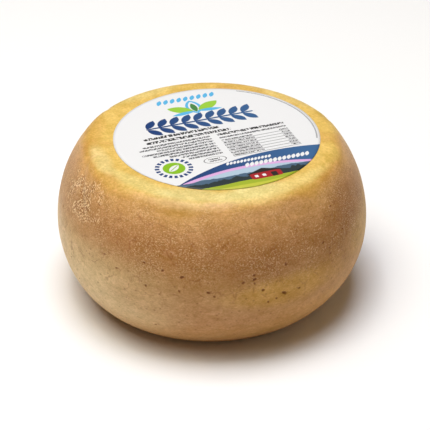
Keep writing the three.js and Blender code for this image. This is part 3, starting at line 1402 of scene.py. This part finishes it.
@dataclass(frozen=True)
class CoatedPaper:
    """Coated white label paper, offset printed, with a plain design of its own.

    The eye sees a smooth white sheet with a soft shine, and flat fields of ink with hard edges.
    Places are millimetres from the label's middle, along the way it reads and towards its head.
    The flattening divides the height by so much that the print reads the same at any height.
    """

    centre: Vector
    roughness: float = 0.42
    shine: float = 0.3
    buckle: Cloud = Cloud(16.0)
    buckle_depth: float = 0.03
    blue_fade: Fade = Fade(-30.0, 38.0)
    flattening: float = 1e9
    line_pitch: float = 2.67
    line_height: float = 1.75
    large_letter: float = 1.0
    table_letter: float = 0.9
    fine_letter: float = 0.6
    fine_print_right: float = -3.3
    fine_print_top: float = 1.4
    fine_print_lengths: tuple[float, ...] = (38, 41, 32, 41, 36, 28, 22, 19)
    table_top: float = -3.7
    table_left: float = 0.7
    table_right: float = 39.3
    table_rows: int = 7
    row_pitch: float = 2.82
    row_height: float = 1.3
    name_width: float = 18.0
    value_width: float = 5.0
    value_margin: float = 0.2
    rule_height: float = 0.45

    def head(self) -> list[tuple[Ink, Shape]]:
        """Lists the ornament at the head: a row of blue grains over a spray of leaves."""
        return [
            (Ink.LIGHT_BLUE, Repeat(-1, 46.2, Leaf(0, 0, 6.0, 2.6, 62), 3.9, 9)),
            (Ink.LIGHT_BLUE, Leaf(0, 35.8, 15.5, 8.6, 90)),
            (Ink.PAPER, Leaf(0, 35.8, 12, 5.4, 90)),
            (Ink.DARK_LEAF, Leaf(0, 35.0, 10, 3.6, 90)),
            (Ink.LEAF, Leaf(-8.0, 34.8, 15, 6.6, -28)),
            (Ink.LEAF, Leaf(8.0, 34.8, 15, 6.6, 28)),
            (Ink.LIGHT_BLUE, Leaf(-7.6, 30.2, 14, 3.2, 6)),
            (Ink.LIGHT_BLUE, Leaf(7.6, 30.2, 14, 3.2, -6)),
        ]

    def garland(self) -> list[tuple[Ink, Shape]]:
        """Lists the bold garland across the label, with its two sides of leaves and its stem."""
        return [
            (Ink.NAVY, Repeat(-2, 20, Leaf(0.4, 4.5, 10.2, 4.6, 50), 6.9, 9, mirrored=True)),
            (Ink.NAVY, Bar(-2, 20, 62, 1.4)),
        ]

    def text(self) -> list[tuple[Ink, Shape]]:
        """Lists the two lines under the garland, the fine print and the table's two headings.

        Returns:
            The lines, each with its ink.
        """
        marks: list[tuple[Ink, Shape]] = [
            (Ink.TEXT, Words(Bar(-16.5, 9.6, 43, 2.6), self.large_letter)),
            (Ink.TEXT, Words(Bar(-13.8, 5.3, 48, 2.6), self.large_letter)),
        ]
        for line, length in enumerate(self.fine_print_lengths):
            middle = self.fine_print_right - length / 2
            row = Bar(middle, self.fine_print_top - line * self.line_pitch, length, self.line_height)
            marks.append((Ink.FINE_TEXT, Words(row, self.fine_letter)))
        width = self.table_right - self.table_left
        middle = (self.table_left + self.table_right) / 2
        marks.append((Ink.TEXT, Words(Bar(middle, 1.4, width, 2.3), self.table_letter)))
        marks.append((Ink.FINE_TEXT, Words(Bar(middle, -2.2, width, 1.6), self.fine_letter)))
        return marks

    def table(self) -> list[tuple[Ink, Shape]]:
        """Lists the table's names, its values and the rules between its rows.

        Returns:
            The three columns of marks, each with its ink.
        """
        width = self.table_right - self.table_left
        middle = (self.table_left + self.table_right) / 2
        names_at = self.table_left + self.name_width / 2
        values_at = self.table_right - self.value_margin - self.value_width / 2
        centre = self.table_top - self.table_rows * self.row_pitch / 2
        names = Bar(0, 0, self.row_height, self.name_width)
        values = Bar(0, 0, self.row_height, self.value_width)
        rule = Bar(0, 0, self.rule_height, width)
        column = (self.row_pitch, self.table_rows, 90)
        return [
            (Ink.FINE_TEXT, Words(Repeat(names_at, centre, names, *column), self.fine_letter)),
            (Ink.FINE_TEXT, Words(Repeat(values_at, centre, values, *column), self.fine_letter)),
            (Ink.RULE, Repeat(middle, centre - self.row_pitch / 2, rule, *column)),
        ]

    def seals(self) -> list[tuple[Ink, Shape]]:
        """Lists the green seal in its ring of marks, the small oval and the edge's fine print."""
        code = Repeat(-9.7, -23, Bar(0, 0, 1.2, 7), 1.9, 2, 90)
        return [
            (Ink.SEAL, Disc(-32.8, -23.8, 5.9)),
            (Ink.PAPER, Leaf(-32.8, -23.8, 8.4, 4.0, 40)),
            (Ink.SEAL, Bar(-32.8, -23.8, 7.4, 0.5, 40)),
            (Ink.NAVY, Dial(-32.8, -23.8, 8.8, 2.4, 20, 0.6)),
            (Ink.FINE_TEXT, Ring(Disc(-9.7, -23, 6.1, 3.2), 0.5)),
            (Ink.FINE_TEXT, Words(code, self.fine_letter)),
            (Ink.RULE, Dial(0, 0, 53.6, 0.8, 420, 0.7, -23, 57)),
        ]

    def scene(self) -> list[tuple[Ink, Shape]]:
        """Lists the picture at the foot: hills, trees, a meadow and a barn, under the blue band."""
        return [
            (Ink.NAVY, Disc(22, -135.6, 111)),
            (Ink.PINK, Disc(2, -139.3, 105)),
            (Ink.SKY, Disc(2, -139.3, 102.7)),
            (Ink.FAR_HILL, Hills(-41.2, 6.0, 15, 3.1)),
            (Ink.NEAR_HILL, Hills(-44.0, 7.0, 8, 8.4)),
            (Ink.MEADOW, Hills(-48.6, 2.6, 26, 1.7)),
            (Ink.MEADOW_LIGHT, Hills(-52.0, 2.4, 18, 5.2)),
            (Ink.NEAR_HILL, Repeat(-23, -46.4, Disc(0, 0, 1.5, 2.2), 3.4, 3)),
            (Ink.ROOF, Gable(9.5, -43.6, 20, 4.2)),
            (Ink.BARN, Bar(9.5, -46.4, 17, 5.8)),
            (Ink.PAPER, Repeat(6.2, -46.4, Bar(0, 0, 1.9, 2.2), 4.2, 2)),
            (Ink.ROOF, Bar(13.8, -47.0, 3.2, 4.2)),
            (Ink.NEAR_HILL, Repeat(27, -44.6, Disc(0, 0, 1.3, 2.0), 3.0, 2)),
            (Ink.PAPER, Repeat(6.5, -29.4, Leaf(0, 0, 3.4, 1.5, 58), 1.95, 13)),
            (Ink.PAPER, Repeat(20.8, -34.0, Leaf(0, 0, 4.8, 2.1, 58), 2.6, 14)),
        ]

    def design(self) -> list[tuple[Ink, Shape]]:
        """Lists the whole design, from the first ink laid down to the last."""
        return self.scene() + self.head() + self.garland() + self.text() + self.table() + self.seals()

    def material(self) -> bpy.types.Material:
        """Builds the paper's material with its print.

        Returns:
            The material.
        """
        recipe = Recipe("coated_label_paper")
        sizes = (MM, MM, self.flattening)
        frame = {"Vector": recipe.place, "Location": self.centre * MM, "Scale": sizes}
        on_label = recipe.add("Mapping", frame, vector_type="TEXTURE")
        along = recipe.add("SeparateXYZ", {0: on_label})
        fade = recipe.add("MapRange", self.blue_fade.of(along))
        ends = {0: fade, 6: linear(Ink.NAVY.value), 7: linear(Ink.STEEL.value)}
        blue = recipe.add("Mix", ends, out=2, data_type="RGBA")
        colour: Socket | Colour = linear(Ink.PAPER.value)
        for ink, shape in self.design():
            tint = blue if ink is Ink.NAVY else linear(ink.value)
            links = {0: shape.mask(recipe, on_label), 6: colour, 7: tint}
            colour = recipe.add("Mix", links, out=2, data_type="RGBA")
        buckle = recipe.add("TexNoise", self.buckle.over(recipe.in_mm))
        height = recipe.add("Math", {0: buckle, 1: self.buckle_depth}, operation="MULTIPLY")
        surface = recipe.add(
            "BsdfPrincipled",
            {
                "Base Color": colour,
                "Roughness": self.roughness,
                "Specular IOR Level": self.shine,
                "Normal": recipe.add("Bump", {"Height": height, "Distance": MM, "Strength": 1.0}),
            },
        )
        return recipe.finish(surface)


# ---- label ----


@dataclass
class Label:
    """The round label: a thin sheet that lies on the top of the cheese."""

    space: Box
    sheet_thickness: float = 0.16
    drop: float = 0.07
    rings: int = 36
    steps_around: int = 192
    wave_size: float = 19.0
    wave_rise: float = 0.11
    middle_wave: float = 0.3
    wave_edge: Span = (0.3, 1.0)

    def build(self) -> bpy.types.Object:
        """Builds the sheet in the space of the solid label and dresses it.

        Returns:
            The label.
        """
        low, high = (corner / MM for corner in self.space)
        radius = (high.x - low.x) / 2
        centre = Vector(((low.x + high.x) / 2, (low.y + high.y) / 2, 0))
        mesh = bmesh.new()
        middle = mesh.verts.new((0, 0, low.z - self.drop))
        draw_line(mesh, middle, Vector((radius, 0, low.z - self.drop)), self.rings)
        bmesh.ops.spin(
            mesh,
            geom=mesh.verts[:] + mesh.edges[:],
            cent=(0, 0, 0),
            axis=(0, 0, 1),
            angle=FULL_TURN,
            steps=self.steps_around,
            use_merge=True,
        )
        bmesh.ops.remove_doubles(mesh, verts=mesh.verts, dist=MERGE_DISTANCE)
        bmesh.ops.translate(mesh, verts=mesh.verts, vec=centre)
        for vertex in mesh.verts:
            out = smooth_step((vertex.co - centre).xy.length / radius, *self.wave_edge)
            wave = (1 + noise.noise(vertex.co / self.wave_size)) / 2
            vertex.co.z += self.wave_rise * wave * (self.middle_wave + (1 - self.middle_wave) * out)
        lifted = bmesh.ops.extrude_face_region(mesh, geom=mesh.faces[:])
        bmesh.ops.translate(mesh, verts=vertices(lifted["geom"]), vec=(0, 0, self.sheet_thickness))
        bmesh.ops.recalc_face_normals(mesh, faces=mesh.faces)
        return finish_piece("paper_label", mesh, CoatedPaper(centre).material())


# ---- studio ----


@dataclass(frozen=True)
class MattePaint:
    """Matte white paint, rolled on, which gives the eye a plain pale ground with soft shadows."""

    colour: str = "#F5F5F5"

    def material(self) -> bpy.types.Material:
        """Builds the paint's material."""
        recipe = Recipe("white_table")
        return recipe.finish(recipe.add("BsdfDiffuse", {"Color": linear(self.colour)}))


@dataclass(frozen=True)
class SoftBox:
    """A square soft light, by its bearing to the right of the camera, its rise and its colour."""

    name: str
    bearing: float
    rise: float
    watts: float
    colour: str


@dataclass
class Studio:
    """A white table, soft lights and the camera."""

    azimuth: float = -20.9
    elevation: float = 31.83
    distance: float = 850.0
    aim_height: float = 44.7
    aim_right: float = 1.89
    aim_up: float = -3.38
    lens: float = 129.4
    floor_size: float = 6000.0
    tent: str = "#FFFFFF"
    tent_strength: float = 0.03
    box_distance: float = 1400.0
    box_size: float = 700.0
    boxes: tuple[SoftBox, ...] = (
        SoftBox("top_box", 180, 89, 13.3, "#F1F5FF"),
        SoftBox("left_box", 270, 68, 6.6, "#FFFAEF"),
        SoftBox("front_box", 315, 68, 6.2, "#FFFAEF"),
        SoftBox("low_box", -8, 25, 0.95, "#FFD690"),
        SoftBox("right_box", 90, 20, 1.1, "#FFEBC4"),
        SoftBox("far_box", 135, 20, 1.3, "#FFEBC4"),
        SoftBox("back_box", 180, 45, 1.4, "#FFF4DC"),
    )

    def build(self) -> None:
        """Sets up the floor, the lights and the camera."""
        self.lay_floor()
        world = bpy.data.worlds.new("tent")
        world.use_nodes = True
        background = world.node_tree.nodes["Background"]
        background.inputs["Color"].default_value = linear(self.tent)
        background.inputs["Strength"].default_value = self.tent_strength
        bpy.context.scene.world = world
        for box in self.boxes:
            self.hang(box)
        self.place_camera()
        bpy.context.scene.view_settings.view_transform = "Standard"

    def lay_floor(self) -> None:
        """Lays a plain white floor."""
        mesh = bmesh.new()
        bmesh.ops.create_grid(mesh, x_segments=1, y_segments=1, size=self.floor_size / 2)
        finish_piece("table_top", mesh, MattePaint().material())

    def hang(self, box: SoftBox) -> None:
        """Hangs one soft light so that it faces the cheese.

        Args:
            box: The light.
        """
        lamp = bpy.data.lights.new(box.name, "AREA")
        lamp.shape = "SQUARE"
        lamp.size = self.box_size * MM
        lamp.energy = box.watts
        lamp.color = linear(box.colour)[:3]
        holder = bpy.data.objects.new(box.name, lamp)
        away = self.direction(self.azimuth + box.bearing, box.rise)
        holder.location = (Vector((0, 0, self.aim_height)) + away * self.box_distance) * MM
        holder.rotation_euler = away.to_track_quat("Z", "Y").to_euler()
        bpy.context.scene.collection.objects.link(holder)
        log.info("%s: %.2f watts", box.name, box.watts)

    @staticmethod
    def direction(azimuth: float, elevation: float) -> Vector:
        """Gives the way from the cheese out to a view, with azimuth 0 on the side of -Y."""
        turn, rise = math.radians(azimuth), math.radians(elevation)
        return Vector((math.sin(turn) * math.cos(rise), -math.cos(turn) * math.cos(rise), math.sin(rise)))

    def place_camera(self) -> None:
        """Sets the camera up at the photograph's angle and framing."""
        back = self.direction(self.azimuth, self.elevation)
        turn = math.radians(self.azimuth)
        right = Vector((math.cos(turn), math.sin(turn), 0))
        up = back.cross(right)
        middle = Vector((0, 0, self.aim_height))
        eye = middle + back * self.distance
        aim = middle + right * self.aim_right + up * self.aim_up
        data = bpy.data.cameras.new("camera")
        data.lens = self.lens
        camera = bpy.data.objects.new("camera", data)
        camera.location = eye * MM
        camera.rotation_euler = (eye - aim).to_track_quat("Z", "Y").to_euler()
        bpy.context.scene.collection.objects.link(camera)
        bpy.context.scene.camera = camera


# ---- all of it ----


def main() -> None:
    """Builds the cheese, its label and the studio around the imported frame."""
    logging.basicConfig(level=logging.INFO, format="%(name)s: %(message)s")
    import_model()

    wheel = Wheel().build()
    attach(wheel, "root")
    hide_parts("cheese")

    label = Label(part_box("label")).build()
    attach(label, "root")
    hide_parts("label")

    Studio().build()


if __name__ == "__main__":
    main()
